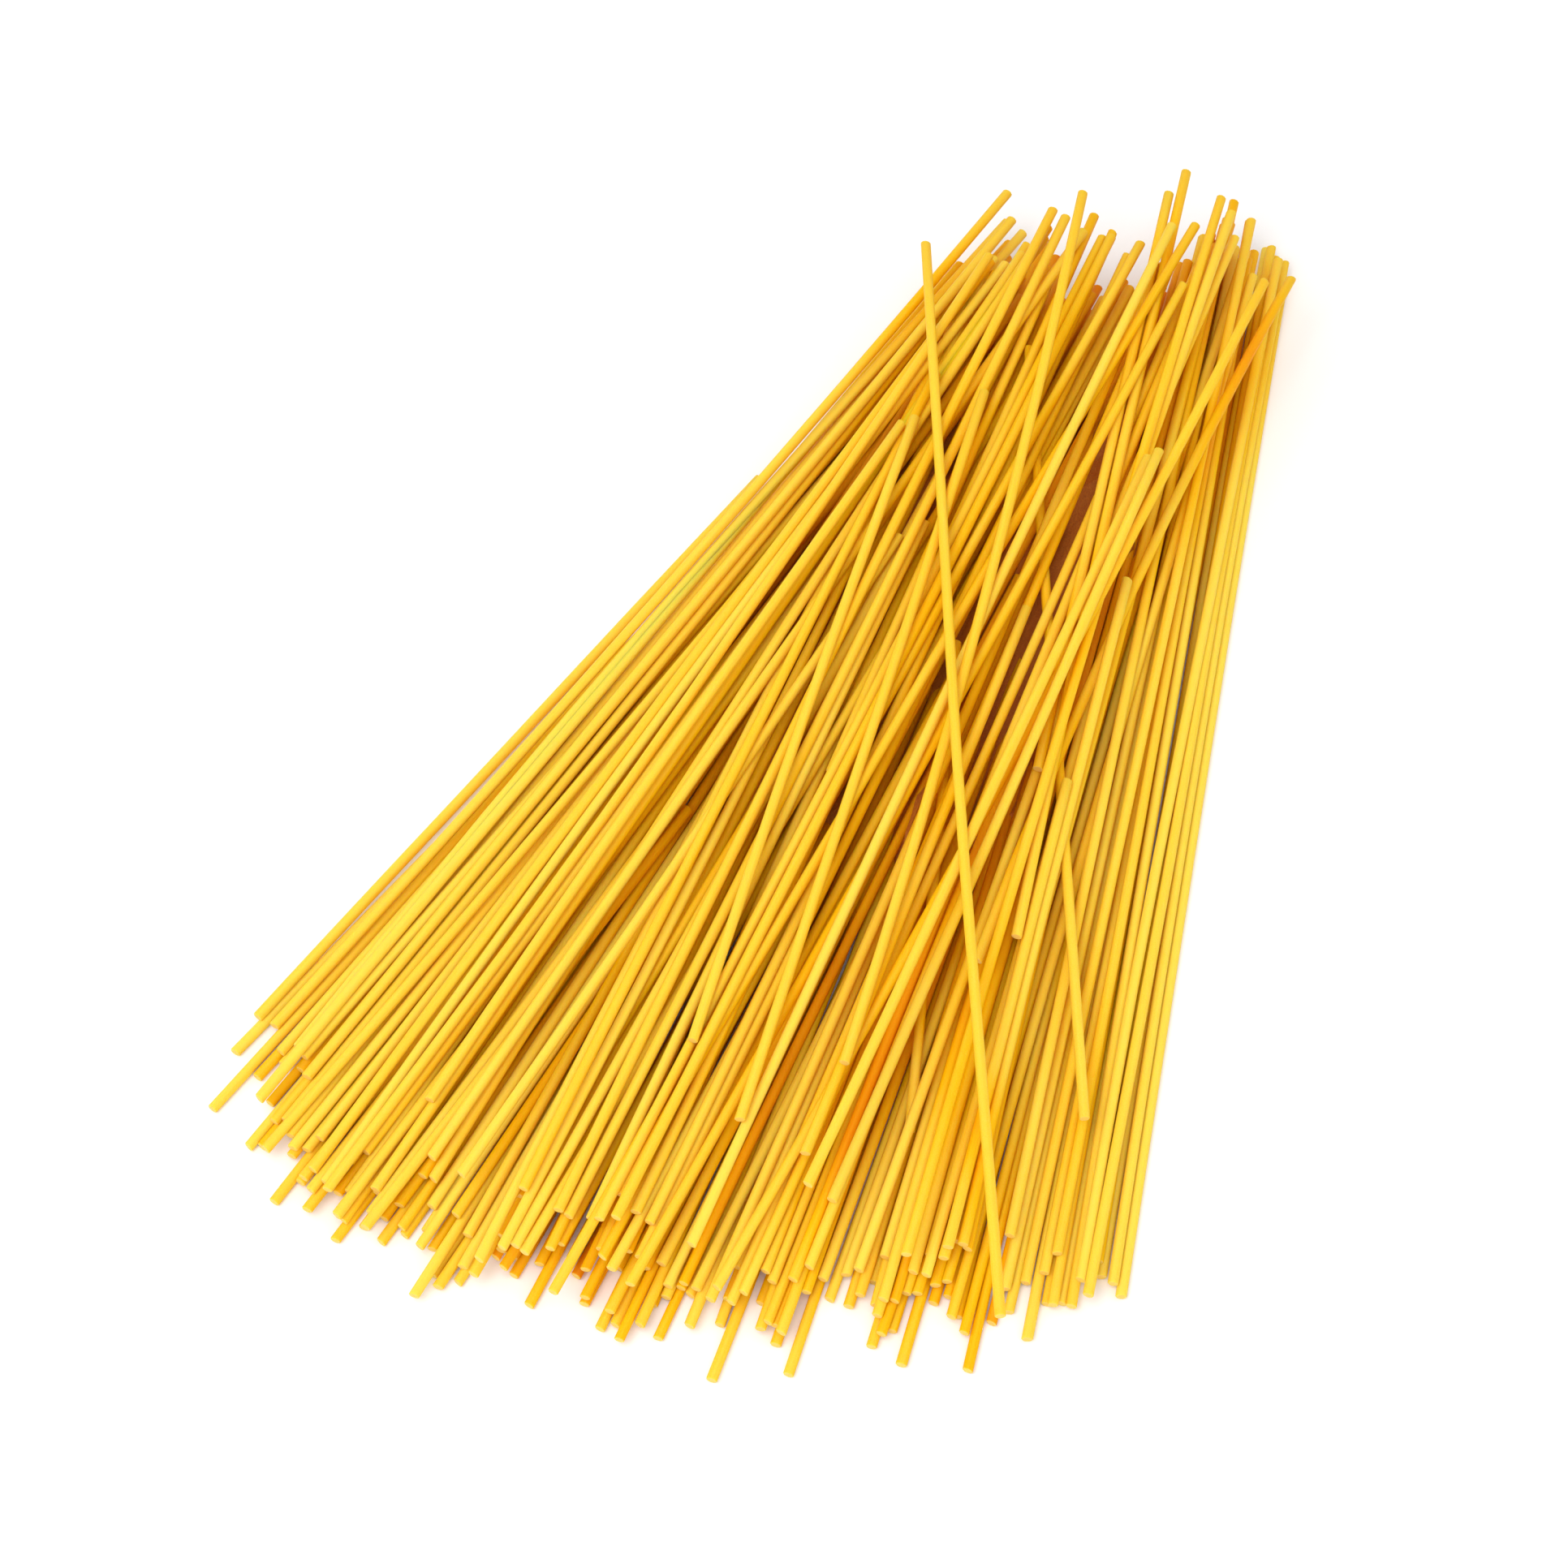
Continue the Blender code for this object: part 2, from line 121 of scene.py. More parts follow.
# strands across the others: far x, far y, near x, near y, bow
lateStrands = (
    (-0.007, 0.093, 0.074, -0.068, 0.0),
    (0.008, 0.020, 0.043, -0.083, 0.0),
)
topStrands = (
    (0.011, 0.128, 0.015, -0.126, 0.0010),
    (0.037, 0.120, 0.024, -0.130, -0.0015),
    (-0.023, 0.060, -0.046, -0.118, 0.0006),
    (-0.021, 0.062, -0.002, -0.089, 0.0008),
    (-0.009, 0.073, 0.014, -0.100, 0.0),
    (0.019, 0.031, 0.028, -0.100, 0.0),
    (0.029, 0.072, 0.033, -0.110, 0.0),
    (0.0315, 0.071, 0.036, -0.105, 0.0),
    (-0.007, 0.126, 0.029, -0.080, -0.0025),
    (-0.037, 0.104, 0.077, -0.121, 0.0008),
)

# the moves that a settling strand tries, in steps
slides = np.array([-1, 1, 0, 0, -0.5, 0.5, -0.5, 0.5, -0.5, 0.5, -2, 2])
turns = np.array([0, 0, -1, 1, -1, 1, 1, -1, 0, 0, 0, 0])


def folded(value, limit):
    while abs(value) > limit:                # past the edge of the fan, back inside it
        value = math.copysign(2 * limit, value) - value
    return value


def parted(nearX):
    off = nearX - fan["gapPlace"]            # out of the gap, to its nearer side
    if abs(off) >= fan["gapHalfWidth"]:
        return nearX
    return fan["gapPlace"] + math.copysign(fan["gapHalfWidth"], off)


def smoothStep(value, low, high):
    share = min(1.0, max(0.0, (value - low) / (high - low)))
    return share * share * (3 - 2 * share)


def mixed(pair, share):
    return pair[0] + (pair[1] - pair[0]) * share


class Heap:
    # the strands laid so far, as arrays, so that a new one is tried against all of them at once

    def __init__(self, room):
        self.count = 0
        self.centre = np.zeros((room, 2))
        self.along = np.zeros((room, 2))
        self.across = np.zeros((room, 2))
        self.half, self.bow, self.diameter, self.z, self.slope = np.zeros((5, room))
        self.strands = []

    def add(self, strand):
        i = self.count
        sine, cosine = math.sin(strand.angle), math.cos(strand.angle)
        self.centre[i] = strand.x, strand.y
        self.along[i] = sine, cosine
        self.across[i] = cosine, -sine
        self.half[i], self.bow[i], self.diameter[i] = strand.half, strand.bow, strand.diameter
        self.z[i], self.slope[i] = strand.z, strand.slope
        self.strands.append(strand)
        self.count += 1

    def local(self, points, which):
        # how far plan points lie along and across these strands
        offset = points[..., None, :] - self.centre[which]
        along = (offset * self.along[which]).sum(-1)
        return along, (offset * self.across[which]).sum(-1)

    def heights(self, points, diameter, which):
        # the axis height at which a strand of this diameter would touch these ones, at each plan point
        along, across = self.local(points, which)
        half = self.half[which]
        across = across - self.bow[which] * ((along / half) ** 2 - 1 / 3)
        pastEnd = np.maximum(np.abs(along) - half, 0)
        reach = ((self.diameter[which] + diameter) / 2) ** 2 - across ** 2 - pastEnd ** 2
        axis = self.z[which] + self.slope[which] * np.clip(along, -half, half)
        touching = np.where(reach > 0, axis + np.sqrt(np.maximum(reach, 0)), 0)
        return np.maximum(touching.max(-1, initial=0), diameter / 2)

    def near(self, x, y, angle, half):
        # the strands that come close to this axis or cross it
        margin = settling["nearMargin"]
        along = np.linspace(-half, half, settling["fewestSamples"])
        points = np.stack([x + math.sin(angle) * along, y + math.cos(angle) * along], -1)
        place, across = self.local(points, slice(self.count))
        pastEnd = np.maximum(np.abs(place) - self.half[: self.count], 0)
        beside = (np.abs(across) < margin) & (pastEnd < margin + half / 8)
        crossing = (np.sign(across[1:]) != np.sign(across[:-1])) & (pastEnd[1:] < half / 3)
        return np.nonzero(beside.any(0) | crossing.any(0))[0]

    def rest(self, x, y, angle, half, bow, diameter, which):
        # centre height and slope of a strand laid at each place, carried on both sides of its middle
        count = max(settling["fewestSamples"], int(round(2 * half / settling["sampleStep"])) | 1)
        along = np.linspace(-half, half, count)
        side = bow * ((along / half) ** 2 - 1 / 3)
        sine, cosine = np.sin(angle)[:, None], np.cos(angle)[:, None]
        points = np.stack(
            [x[:, None] + sine * along + cosine * side, y[:, None] + cosine * along - sine * side], -1
        )
        support = self.heights(points, diameter, which)
        left, right = along[along <= 0], along[along >= 0]
        span = np.maximum(right - left[:, None], 1e-9)
        low, high = support[:, along <= 0], support[:, along >= 0]
        centre = (low[:, :, None] * right - high[:, None] * left[:, None]) / span
        flat = centre.reshape(len(centre), -1)
        i, j = np.unravel_index(flat.argmax(1), span.shape)
        rows = np.arange(len(flat))
        steepest = settling["mostSlope"]
        slope = np.clip((high[rows, j] - low[rows, i]) / span[i, j], -steepest, steepest)
        return (support - slope[:, None] * along).max(1), slope


def unsteady(slope, half):
    # what a steep strand counts extra, because it would slip down lengthwise
    return settling["unsteady"] * half * np.maximum(np.abs(slope) - settling["easySlope"], 0)


def letDown(heap, x, y, angle, half, bow, diameter, free=True):
    # a free strand slides and turns to the lowest place friction lets it reach
    which = heap.near(x, y, angle, half)
    z, slope = (v[0] for v in heap.rest(*np.array([[x], [y], [angle]]), half, bow, diameter, which))
    step, slid = diameter / 2, 0.0
    for _ in range(settling["mostMoves"] if free else 0):
        slide, turn = slides * step, turns * step / half
        xs, ys = x + math.cos(angle) * slide, y - math.sin(angle) * slide
        angles = angle + turn
        zs, slopes = heap.rest(xs, ys, angles, half, bow, diameter, which)
        cost = zs + unsteady(slopes, half)
        turned = settling["turnFriction"] * np.abs(turn) * half
        cost = cost + settling["friction"] * (np.abs(slide) + turned)
        i = int(cost.argmin())
        if cost[i] < z + unsteady(slope, half) - settling["leastGain"]:
            x, y, angle, z, slope = xs[i], ys[i], angles[i], zs[i], slopes[i]
            slid += abs(slide[i])
            if slid > settling["mostSlide"]:
                break
        elif step < settling["leastStep"] * diameter:
            break
        else:
            step /= 2
    heap.add(Strand(x, y, angle, half, bow, diameter, z, slope))


def layByHand(heap, rows):
    for farX, farY, nearX, nearY, bow in rows:
        runX, runY = farX - nearX, farY - nearY
        x, y = (farX + nearX) / 2, (farY + nearY) / 2
        half = math.hypot(runX, runY) / 2
        letDown(heap, x, y, math.atan2(runX, runY), half, bow, strandCut["diameter"], free=False)


def layBed(heap, rng):
    # the lowest strands, spread evenly over the fan and laid in a random order
    for i in rng.permutation(fan["bedCount"]):
        place = 2 * (i + rng.uniform(*fan["bedPlace"])) / fan["bedCount"] - 1
        farX = fan["farHalfWidth"] * place + rng.normal(0, fan["bedWander"][0])
        nearX = fan["nearHalfWidth"] * place + rng.normal(0, fan["bedWander"][1])
        farX, nearX = folded(farX, fan["farHalfWidth"]), folded(nearX, fan["nearHalfWidth"])
        layStrand(heap, rng, farX, nearX, rng.normal(0, fan["endSpread"]), heap.count / fan["count"])


def crossedMore(pair, crossed):
    return pair[0] + pair[1] * crossed


def layBunch(heap, rng, turn):
    # a few strands side by side, which share their place and direction in the fan
    laid = heap.count / fan["count"]
    fewest, most = fan["bunchSize"]
    size = min(int(rng.integers(fewest, most + 1)), fan["count"] - heap.count)
    width = 1 - fan["crown"] * laid
    place = (2 * math.fmod(fan["golden"] * turn, 1) - 1) * width
    crossed = smoothStep(place, fan["calmSide"] - fan["calmEdge"], fan["calmSide"] + fan["calmEdge"])
    far = fan["farHalfWidth"] * place + rng.normal(0, mixed(fan["farWander"], crossed))
    near = fan["nearHalfWidth"] * place + rng.normal(0, mixed(fan["nearWander"], crossed))
    if laid > fan["crossStart"]:
        lean = crossed * (1 if turn % 2 else -1)
        far, near = far + lean * fan["crossFar"], near - lean * fan["crossNear"]
    shift = rng.normal(0, fan["endSpread"])
    for i in range(size):
        beside = i - (size - 1) / 2
        farX = far + beside * crossedMore(fan["farStep"], crossed)
        farX += rng.normal(0, crossedMore(fan["farStray"], crossed))
        nearX = near + beside * crossedMore(fan["nearStep"], crossed)
        nearX += rng.normal(0, crossedMore(fan["nearStray"], crossed))
        farX = folded(farX, fan["farHalfWidth"] * width)
        nearX = folded(nearX, fan["nearHalfWidth"] * width)
        layStrand(heap, rng, farX, nearX, shift, laid)


def layStrand(heap, rng, farX, nearX, shift, laid):
    # one strand between a place at the far end and one at the near end, whole or broken
    nearX = parted(nearX)
    length = strandCut["length"] + rng.normal(0, strandCut["lengthSpread"])
    angle = math.asin((farX - nearX - fan["nearMiddle"]) / length)
    place = nearX / fan["nearHalfWidth"]
    shift = max(-fan["mostShift"], min(fan["mostShift"], shift + rng.normal(0, fan["endSpread"])))
    shift += mixed(fan["layerShift"], laid)
    shift += fan["cornerShift"][int(place > 0)] * smoothStep(abs(place), fan["cornerStart"], 1.0)
    x, y = (farX + nearX + fan["nearMiddle"]) / 2, np.polyval(fan["middleShift"][::-1], place) + shift
    bow = rng.normal(0, strandCut["bowSpread"])
    bow *= strandCut["bentMore"] if rng.random() < strandCut["bentShare"] else 1
    more = strandCut["brokenMore"] if laid > strandCut["brokenTop"] else 1
    if laid > strandCut["brokenStart"] and rng.random() < strandCut["brokenShare"] * more:
        kept = rng.uniform(*strandCut["brokenLength"])
        side = -1 if rng.random() < 0.5 else 1
        x += side * math.sin(angle) * length * (1 - kept) / 2
        y += side * math.cos(angle) * length * (1 - kept) / 2
        length, bow = length * kept, bow * kept ** 2
    spread = strandCut["diameterSpread"]
    diameter = strandCut["diameter"] * (1 + rng.uniform(-spread, spread))
    letDown(heap, x, y, angle, length / 2, bow, diameter)


def layHeap():
    rng = np.random.default_rng(fan["seed"])
    heap = Heap(fan["count"] + len(topStrands) + len(lateStrands))
    layBed(heap, rng)
    bunches = itertools.count()
    while heap.count < fan["lateStart"] * fan["count"]:
        layBunch(heap, rng, next(bunches))
    layByHand(heap, lateStrands)
    while heap.count < fan["count"]:
        layBunch(heap, rng, next(bunches))
    layByHand(heap, topStrands)
    return heap


def axisPoints(strand, count):
    # points along the middle of a strand
    along = np.linspace(-strand.half, strand.half, count)
    side = strand.bow * ((along / strand.half) ** 2 - 1 / 3)
    sine, cosine = math.sin(strand.angle), math.cos(strand.angle)
    return np.stack(
        [
            strand.x + sine * along + cosine * side,
            strand.y + cosine * along - sine * side,
            strand.z + strand.slope * along,
        ],
        -1,
    )


heap = layHeap()
outline = np.concatenate([axisPoints(strand, 3) for strand in heap.strands])
heapMiddle = (outline.min(0) + outline.max(0)) / 2
boxMiddle = (bundleLow + bundleHigh) / 2
heapShift = Vector((boxMiddle.x - heapMiddle[0], boxMiddle.y - heapMiddle[1], bundleLow.z))
print("heap laid,", heap.count, "strands")


# node groups that both pastas use

def addSocket(group, name, direction, kind, value=None):
    socket = group.interface.new_socket(name=name, in_out=direction, socket_type=kind)
    if value is not None:
        socket.default_value = value
    return socket


def newNode(tree, kind, x, y, **settings):
    node = tree.nodes.new(kind)
    node.location = (x, y)
    for name, value in settings.items():
        setattr(node, name, value)
    return node


def makeStreaks():
    # streaks drawn out along an extruded strand, and a fine grain
    group = bpy.data.node_groups.new("extrudedStreaks", "ShaderNodeTree")
    addSocket(group, "Place", "INPUT", "NodeSocketVector")
    addSocket(group, "Streak Scale", "INPUT", "NodeSocketFloat", 900.0)
    addSocket(group, "Stretch", "INPUT", "NodeSocketFloat", 0.03)
    addSocket(group, "Grain Scale", "INPUT", "NodeSocketFloat", 4500.0)
    addSocket(group, "Streak", "OUTPUT", "NodeSocketFloat")
    addSocket(group, "Grain", "OUTPUT", "NodeSocketFloat")
    addSocket(group, "Height", "OUTPUT", "NodeSocketFloat")
    takes = newNode(group, "NodeGroupInput", -900, 0)
    gives = newNode(group, "NodeGroupOutput", 500, 0)
    stretch = newNode(group, "ShaderNodeCombineXYZ", -700, -120)
    stretch.inputs["X"].default_value = 1.0
    stretch.inputs["Z"].default_value = 1.0
    group.links.new(takes.outputs["Stretch"], stretch.inputs["Y"])
    drawn = newNode(group, "ShaderNodeVectorMath", -520, 0, operation="MULTIPLY")
    group.links.new(takes.outputs["Place"], drawn.inputs[0])
    group.links.new(stretch.outputs["Vector"], drawn.inputs[1])
    streak = newNode(group, "ShaderNodeTexNoise", -320, 120)
    streak.inputs["Detail"].default_value = 3.0
    streak.inputs["Roughness"].default_value = 0.6
    group.links.new(drawn.outputs["Vector"], streak.inputs["Vector"])
    group.links.new(takes.outputs["Streak Scale"], streak.inputs["Scale"])
    grain = newNode(group, "ShaderNodeTexNoise", -320, -160)
    grain.inputs["Detail"].default_value = 2.0
    group.links.new(takes.outputs["Place"], grain.inputs["Vector"])
    group.links.new(takes.outputs["Grain Scale"], grain.inputs["Scale"])
    height = newNode(group, "ShaderNodeMix", 120, -60, data_type="FLOAT")
    height.inputs["Factor"].default_value = 0.4
    group.links.new(streak.outputs["Fac"], height.inputs["A"])
    group.links.new(grain.outputs["Fac"], height.inputs["B"])
    group.links.new(streak.outputs["Fac"], gives.inputs["Streak"])
    group.links.new(grain.outputs["Fac"], gives.inputs["Grain"])
    group.links.new(height.outputs["Result"], gives.inputs["Height"])
    return group


def makeTonedShadedPasta():
    # one strand's tone, with painted shade and painted light in it, mottled along its length
    group = bpy.data.node_groups.new("tonedShadedPasta", "ShaderNodeTree")
    addSocket(group, "Tone And Shade", "INPUT", "NodeSocketFloat", 0.5)
    addSocket(group, "Streak", "INPUT", "NodeSocketFloat", 0.5)
    addSocket(group, "Grain", "INPUT", "NodeSocketFloat", 0.5)
    addSocket(group, "Light Pasta", "INPUT", "NodeSocketColor", (0.9, 0.5, 0.04, 1))
    addSocket(group, "Dark Tone And Shade Pasta", "INPUT", "NodeSocketColor", (0.9, 0.4, 0.02, 1))
    addSocket(group, "Deep Shade Pasta", "INPUT", "NodeSocketColor", (0.7, 0.2, 0.01, 1))
    addSocket(group, "Mottle", "INPUT", "NodeSocketFloat", 0.3)
    addSocket(group, "Color", "OUTPUT", "NodeSocketColor")
    takes = newNode(group, "NodeGroupInput", -700, 0)
    gives = newNode(group, "NodeGroupOutput", 500, 0)
    spots = newNode(group, "ShaderNodeMath", -480, -80, operation="ADD")
    group.links.new(takes.outputs["Streak"], spots.inputs[0])
    group.links.new(takes.outputs["Grain"], spots.inputs[1])
    centred = newNode(group, "ShaderNodeMath", -320, -80, operation="SUBTRACT")
    centred.inputs[1].default_value = 1.0
    group.links.new(spots.outputs["Value"], centred.inputs[0])
    own = newNode(group, "ShaderNodeMath", -160, -20, operation="MULTIPLY_ADD")
    group.links.new(centred.outputs["Value"], own.inputs[0])
    group.links.new(takes.outputs["Mottle"], own.inputs[1])
    group.links.new(takes.outputs["Tone And Shade"], own.inputs[2])
    colour = newNode(group, "ShaderNodeMix", 120, 60, data_type="RGBA")
    group.links.new(own.outputs["Value"], colour.inputs["Factor"])
    group.links.new(takes.outputs["Dark Tone And Shade Pasta"], colour.inputs["A"])
    group.links.new(takes.outputs["Light Pasta"], colour.inputs["B"])
    # painted deep shade: the further the tone falls below zero, the more of the deep shade colour
    deepShadeShare = newNode(group, "ShaderNodeMath", 60, -160, operation="MULTIPLY", use_clamp=True)
    deepShadeShare.inputs[1].default_value = -1.0
    group.links.new(own.outputs["Value"], deepShadeShare.inputs[0])
    shaded = newNode(group, "ShaderNodeMix", 300, 60, data_type="RGBA")
    group.links.new(deepShadeShare.outputs["Value"], shaded.inputs["Factor"])
    group.links.new(colour.outputs["Result"], shaded.inputs["A"])
    group.links.new(takes.outputs["Deep Shade Pasta"], shaded.inputs["B"])
    group.links.new(shaded.outputs["Result"], gives.inputs["Color"])
    return group


extrudedStreaks = makeStreaks()
tonedShadedPasta = makeTonedShadedPasta()


def placeGroup(tree, group, x, y, **values):
    node = newNode(tree, "ShaderNodeGroup", x, y, node_tree=group)
    for name, value in values.items():
        node.inputs[name].default_value = value
    return node


# pasta of the strands: the light colour is reached through random tone and painted light, the dark and
# deep shade colours through random tone and painted shade
dryPastaLook = {
    "lightPasta": (0.94, 0.675, 0.08, 1),
    # painted shade, with the strands' darker random tone: the colour at tone zero
    "darkToneAndShadePasta": (0.93, 0.50, 0.001, 1),
    # painted deep shade, for tones below zero
    "deepShadePasta": (0.86, 0.31, 0.001, 1),
    "mottle": 0.6,
    "cutEnd": (0.95, 0.64, 0.14, 1),
    "streakRange": (0.3, 0.7),
    "roughness": (0.42, 0.60),               # over that range of the streaks
    "ior": 1.5,
    "specular": 0.10,
    "subsurface": 0.55,
    "subsurfaceRadius": (1.0, 0.5, 0.05),
    "subsurfaceScale": 0.002,
    "bump": 0.18,
    "bumpDistance": 0.00008,
}


def makeDryPasta():
    look = dryPastaLook
    material = bpy.data.materials.new("dryPasta")
    material.use_nodes = True
    tree = material.node_tree
    shader = tree.nodes["Principled BSDF"]
    shader.inputs["Metallic"].default_value = 0.0
    shader.inputs["IOR"].default_value = look["ior"]
    shader.inputs["Specular IOR Level"].default_value = look["specular"]
    shader.inputs["Subsurface Weight"].default_value = look["subsurface"]
    shader.inputs["Subsurface Radius"].default_value = look["subsurfaceRadius"]
    shader.inputs["Subsurface Scale"].default_value = look["subsurfaceScale"]
    place = newNode(tree, "ShaderNodeAttribute", -1300, 0, attribute_name="strandPlace")
    # the strands' tone: a random tone of their own with painted shade and painted light in it
    tone = newNode(tree, "ShaderNodeAttribute", -1300, 300, attribute_name="strandToneAndShade")
    cut = newNode(tree, "ShaderNodeAttribute", -1300, -300, attribute_name="cutEnd")
    streaks = placeGroup(tree, extrudedStreaks, -1000, 0)
    tree.links.new(place.outputs["Vector"], streaks.inputs["Place"])
    tonedAndShaded = placeGroup(tree, tonedShadedPasta, -700, 150, **{
        "Light Pasta": look["lightPasta"], "Dark Tone And Shade Pasta": look["darkToneAndShadePasta"],
        "Deep Shade Pasta": look["deepShadePasta"], "Mottle": look["mottle"],
    })
    tree.links.new(tone.outputs["Fac"], tonedAndShaded.inputs["Tone And Shade"])
    tree.links.new(streaks.outputs["Streak"], tonedAndShaded.inputs["Streak"])
    tree.links.new(streaks.outputs["Grain"], tonedAndShaded.inputs["Grain"])
    ended = newNode(tree, "ShaderNodeMix", -400, 150, data_type="RGBA")
    ended.inputs["B"].default_value = look["cutEnd"]
    tree.links.new(cut.outputs["Fac"], ended.inputs["Factor"])
    tree.links.new(tonedAndShaded.outputs["Color"], ended.inputs["A"])
    tree.links.new(ended.outputs["Result"], shader.inputs["Base Color"])
    rough = newNode(tree, "ShaderNodeMapRange", -400, -100)
    rough.inputs["From Min"].default_value = look["streakRange"][0]
    rough.inputs["From Max"].default_value = look["streakRange"][1]
    rough.inputs["To Min"].default_value = look["roughness"][0]
    rough.inputs["To Max"].default_value = look["roughness"][1]
    tree.links.new(streaks.outputs["Streak"], rough.inputs["Value"])
    tree.links.new(rough.outputs["Result"], shader.inputs["Roughness"])
    bump = newNode(tree, "ShaderNodeBump", -400, -350)
    bump.inputs["Strength"].default_value = look["bump"]
    bump.inputs["Distance"].default_value = look["bumpDistance"]
    tree.links.new(streaks.outputs["Height"], bump.inputs["Height"])
    tree.links.new(bump.outputs["Normal"], shader.inputs["Normal"])
    return material


# painted shade: pasta packed inside the heap, coloured dark red-brown as it looks in shade
packedShadeLook = {
    # both colours are painted shade, mottled
    "lightPasta": (0.60, 0.20, 0.006, 1),
    "darkToneAndShadePasta": (0.40, 0.10, 0.002, 1),
    "mottle": 1.2,
    "streakScale": 420.0,
    "stretch": 0.02,
    "grainScale": 2500.0,
    "roughness": 0.7,
    "bump": 0.6,
    "bumpDistance": 0.0008,
}


def makePackedShade():
    look = packedShadeLook
    material = bpy.data.materials.new("packedPastaShade")
    material.use_nodes = True
    tree = material.node_tree
    shader = tree.nodes["Principled BSDF"]
    shader.inputs["Metallic"].default_value = 0.0
    shader.inputs["Roughness"].default_value = look["roughness"]
    where = newNode(tree, "ShaderNodeTexCoord", -1300, 0)
    streaks = placeGroup(tree, extrudedStreaks, -1000, 0, **{
        "Streak Scale": look["streakScale"], "Stretch": look["stretch"],
        "Grain Scale": look["grainScale"],
    })
    tree.links.new(where.outputs["Object"], streaks.inputs["Place"])
    tonedAndShaded = placeGroup(tree, tonedShadedPasta, -700, 150, **{
        "Light Pasta": look["lightPasta"], "Dark Tone And Shade Pasta": look["darkToneAndShadePasta"],
        "Deep Shade Pasta": look["darkToneAndShadePasta"], "Mottle": look["mottle"],
    })
    tree.links.new(streaks.outputs["Streak"], tonedAndShaded.inputs["Streak"])
    tree.links.new(streaks.outputs["Grain"], tonedAndShaded.inputs["Grain"])
    tree.links.new(tonedAndShaded.outputs["Color"], shader.inputs["Base Color"])
    bump = newNode(tree, "ShaderNodeBump", -400, -350)
    bump.inputs["Strength"].default_value = look["bump"]
    bump.inputs["Distance"].default_value = look["bumpDistance"]
    tree.links.new(streaks.outputs["Height"], bump.inputs["Height"])
    tree.links.new(bump.outputs["Normal"], shader.inputs["Normal"])
    return material


dryPasta = makeDryPasta()
packedPastaShade = makePackedShade()
print("materials made")


# strands
strandShape = {
    "sides": 10,
    "wholeShare": 0.97,      # of the cut length, from which on a strand counts as whole
    "wholeSeed": 3,
    "brokenSeed": 4,
    "parts": 8,              # lengths that it bends between
    "rim": 0.14,             # worn edge of a cut end, in radii
    "cutTilt": 0.22,         # how far off square a cut may be
    "wave": 0.00018,         # slight waviness along a strand, at its strongest
    "waveShare": (0.2, 1),
    "waveCount": (0.7, 1.8),
    "waveHalf": 0.128,       # half length of a strand that waves as much
    "topTone": 0.33,         # a strand's tone on top of the heap, 1 the lightest
    # painted shade: darker with each strand's thickness of depth under the heap's top
    "depthShade": 0.22,       # what each strand's thickness of depth takes off it
    "shadeSteps": 33,
    "shadeReach": 0.14,       # share of a strand over which its depth is evened out
    # painted shade: darker where the heap stands taller, so the low flanks come out lighter
    "pileShade": 11.0,        # what each metre of the heap's height takes off it
    # painted light: the upper side of a strand lighter
    "upperSideLight": 0.34,       # how much lighter its upper side is
    # painted light: a strand with nothing over it lighter
    "bareLight": 0.25,        # how much lighter a strand is with nothing over it
    "toneSpread": 0.13,
}


def finishPiece(shape, name, material):
    mesh = bpy.data.meshes.new(name)
    shape.to_mesh(mesh)
    shape.free()
    mesh.materials.append(material)
    piece = bpy.data.objects.new(name, mesh)
    bpy.context.scene.collection.objects.link(piece)
    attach(piece, "root")
    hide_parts("spaghetti_bundle")
    return piece


def makeStrandTemplate():
    # a straight strand along Y, measured in its own radius
    reach = strandCut["length"] / strandCut["diameter"]
    shape = bmesh.new()
    bmesh.ops.create_cone(
        shape,
        cap_ends=True,
        segments=strandShape["sides"],
        radius1=1,
        radius2=1,
        depth=2 * reach,
        matrix=Matrix.Rotation(math.radians(90), 4, "X"),
    )
    rims = [edge for edge in shape.edges if edge.calc_length() < reach]
    bmesh.ops.bevel(
        shape,
        geom=rims,
        offset=strandShape["rim"],
        offset_type="OFFSET",
        segments=1,
        profile=0.5,
        affect="EDGES",
        material=-1,
    )
    longEdges = [edge for edge in shape.edges if edge.calc_length() > reach]
    bmesh.ops.subdivide_edges(shape, edges=longEdges, cuts=strandShape["parts"] - 1)
    bmesh.ops.recalc_face_normals(shape, faces=list(shape.faces))
    for face in shape.faces:
        face.smooth = max(v.co.y for v in face.verts) - min(v.co.y for v in face.verts) > 1
    mesh = bpy.data.meshes.new("strandTemplate")
    shape.to_mesh(mesh)
    shape.free()
    return mesh, reach


pointSize = 1e-6             # so thin that what it touches is the heap's surface


def shadeAlong(strand):
    # a strand's tone at even steps along it, with painted shade and painted light in it: the deeper it
    # lies under the heap's top and the taller the heap there, the darker, and lighter where nothing
    # lies over it
    points = axisPoints(strand, strandShape["shadeSteps"])
    top = heap.heights(points[:, :2], pointSize, np.arange(heap.count))
    depth = (top - points[:, 2]) / strand.diameter - 0.5
    steps = np.linspace(-1, 1, strandShape["shadeSteps"])
    weights = np.exp(-(((steps[:, None] - steps) / strandShape["shadeReach"]) ** 2))
    depth = weights @ depth / weights.sum(1)
    pile = weights @ top / weights.sum(1)
    tonesWithShade = strandShape["topTone"] - strandShape["depthShade"] * depth - strandShape["pileShade"] * pile
    return steps, tonesWithShade + strandShape["bareLight"] * np.maximum(0.0, 1 - 2 * depth)


